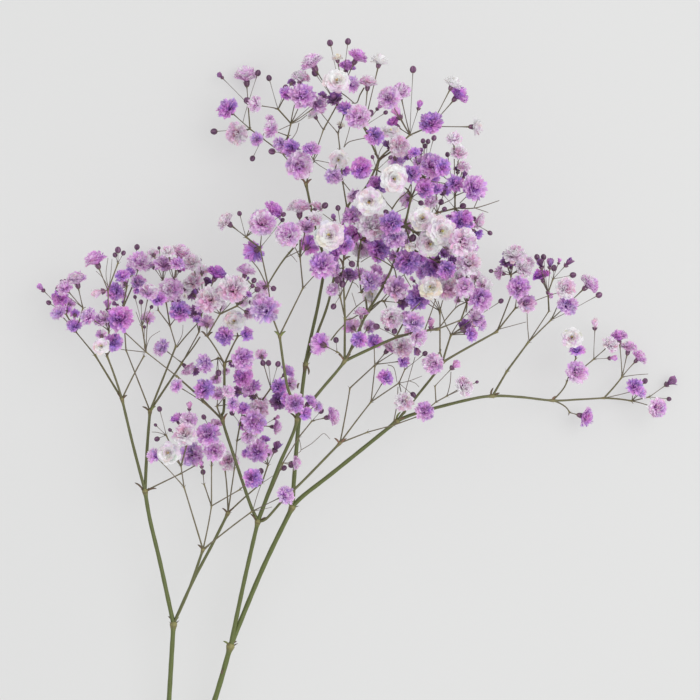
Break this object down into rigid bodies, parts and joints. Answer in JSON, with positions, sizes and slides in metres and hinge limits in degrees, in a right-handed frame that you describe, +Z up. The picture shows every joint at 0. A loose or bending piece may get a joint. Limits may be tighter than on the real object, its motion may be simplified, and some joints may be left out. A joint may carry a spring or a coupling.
{
  "type": "gypsophila stem",
  "caption": "Cut stem of double gypsophila lying down: forked green stems, fine brown branches and open sprays of small ruffled flowers and round buds.",
  "frame": {"origin": "centre of the footprint of the stem's bounding box, on the surface that the stem lies on", "axes": "+Y from the cut end towards the flowering top, +Z up from the surface, +X to the right seen from above"},
  "size_m": [0.2294, 0.2976, 0.0704],
  "materials": {
    "green_stem": "satin green bark, slightly waxy",
    "brown_branch": "matte olive brown bark",
    "violet_petals": "matte thin petals",
    "lilac_petals": "matte thin petals",
    "pink_petals": "matte thin petals",
    "blush_petals": "matte thin petals",
    "white_petals": "matte thin petals"
  },
  "bodies": {
    "root": {"cut_base_stem": "green_stem", "left_main_stem": "green_stem", "right_main_stem": "green_stem", "left_outer_branch": "green_stem", "left_inner_branch": "brown_branch", "left_middle_branch": "brown_branch", "centre_branch": "green_stem", "right_branch": "green_stem", "outer_left_arm": "brown_branch", "outer_middle_arm": "brown_branch", "gap_branch": "brown_branch", "long_right_branch": "green_stem", "knee_branch": "green_stem", "heart_branch": "green_stem", "tall_stem": "green_stem", "twin_stem": "brown_branch", "star_branch": "brown_branch", "rail_branch": "brown_branch", "right_arm": "green_stem", "shoulder_branch": "brown_branch", "left_tip_spray": "violet_petals", "left_back_spray": "violet_petals", "crown_edge_spray": "violet_petals", "crown_low_spray": "blush_petals", "knee_spray": "lilac_petals", "inner_left_spray": "blush_petals", "low_left_spray": "violet_petals", "heart_spray": "pink_petals", "curl_spray": "pink_petals", "crown_inner_spray": "lilac_petals", "crown_right_spray": "violet_petals", "rail_bud_spray": "lilac_petals", "rail_tip_spray": "blush_petals", "mass_white_spray": "white_petals", "mass_top_spray": "violet_petals", "mass_right_spray": "violet_petals", "twin_left_spray": "blush_petals", "high_left_spray": "pink_petals", "high_right_spray": "pink_petals", "left_shoulder_spray": "blush_petals", "left_reach_spray": "pink_petals", "crest_spray": "blush_petals", "inner_middle_spray": "lilac_petals", "middle_edge_spray": "lilac_petals", "middle_spray": "pink_petals", "mast_spray": "violet_petals", "rose_spray": "lilac_petals", "mass_violet_spray": "violet_petals", "gap_spray": "pink_petals", "low_twig_spray": "violet_petals", "shoulder_spray": "blush_petals", "fan_spray": "lilac_petals", "right_crest_spray": "lilac_petals", "reach_spray": "pink_petals", "tip_spray": "pink_petals", "top_left_spray": "pink_petals", "top_inner_spray": "violet_petals", "top_middle_spray": "pink_petals", "high_low_spray": "white_petals"}
  },
  "joints": []
}
